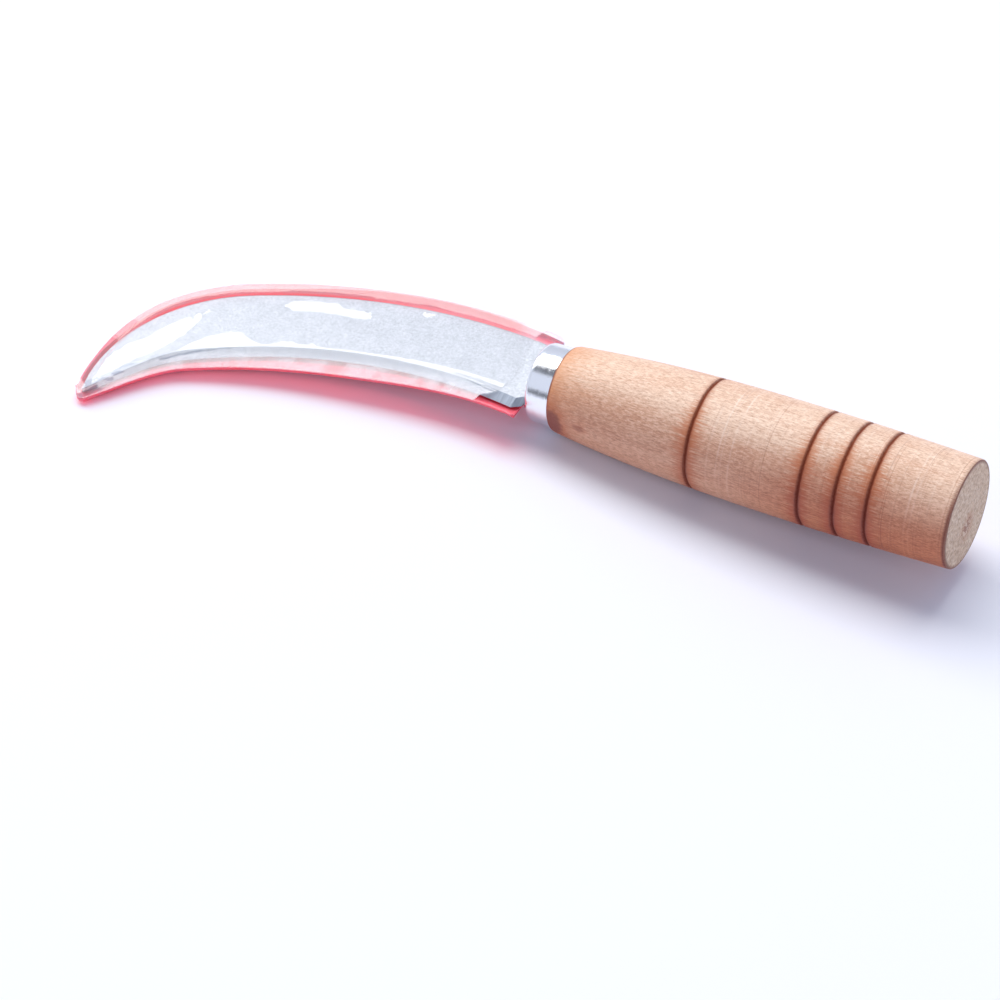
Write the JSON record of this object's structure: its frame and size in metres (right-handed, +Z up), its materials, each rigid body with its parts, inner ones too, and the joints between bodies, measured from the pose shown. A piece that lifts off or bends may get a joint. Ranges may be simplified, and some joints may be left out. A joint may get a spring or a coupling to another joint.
{
  "type": "hand sickle with sheath",
  "caption": "Small hand sickle with a hooked single-bevel steel blade, a turned wooden handle with a bright ferrule, and a slip-on plastic sheath that draws off along the blade's curve.",
  "frame": {"origin": "centre of the bounding box's bottom face, on the table that the tool lies on", "axes": "+X along the handle towards the butt as seen from above, +Y towards the blade's spine, +Z up"},
  "size_m": [0.2565, 0.0812, 0.0387],
  "materials": {
    "steel": "fine ground steel, satin, with a brighter bevel",
    "ferrule_metal": "bright plating",
    "wood": "turned, unvarnished, with burnt brown grooves",
    "red_plastic": "satin, slightly translucent",
    "clear_film": "clear, glossy, a little wavy"
  },
  "bodies": {
    "knife": {"blade": "steel", "ferrule": "ferrule_metal", "handle": "wood"},
    "sheath": {"sheath_back": "red_plastic", "sheath_film": "clear_film"}
  },
  "joints": [
    {"name": "sheath_draw", "type": "hinge", "parent": "knife", "child": "sheath", "pos_m": [-0.03059, -0.09315, 0.01017], "axis": [-0.0826, 0, 0.9966], "range_deg": [0, 75]}
  ]
}
